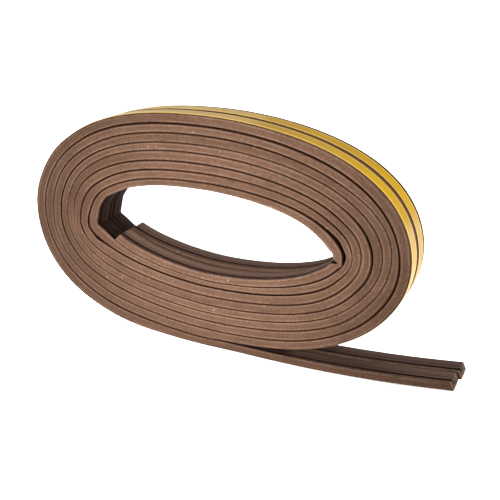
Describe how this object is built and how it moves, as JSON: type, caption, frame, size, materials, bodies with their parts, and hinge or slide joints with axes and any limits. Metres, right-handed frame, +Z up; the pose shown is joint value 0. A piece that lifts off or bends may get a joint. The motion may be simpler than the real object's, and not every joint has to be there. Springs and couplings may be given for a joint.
{
  "type": "self-adhesive weatherstrip",
  "caption": "Coil of twin brown foam rubber weatherstrip, ridged sealing face inward, yellow release liner outward, free end lying along the floor.",
  "frame": {"origin": "on the floor under the middle of the coil with its tail", "axes": "+X along the floor towards the tail's free end, +Y along the coil's axis away from the front end face, +Z up"},
  "size_m": [0.1918, 0.0184, 0.0995],
  "materials": {
    "foam_rubber": "matte cellular rubber",
    "release_paper": "satin coated paper"
  },
  "bodies": {
    "root": {"front_strip": "foam_rubber", "back_strip": "foam_rubber", "front_liner": "release_paper", "back_liner": "release_paper"}
  },
  "joints": []
}
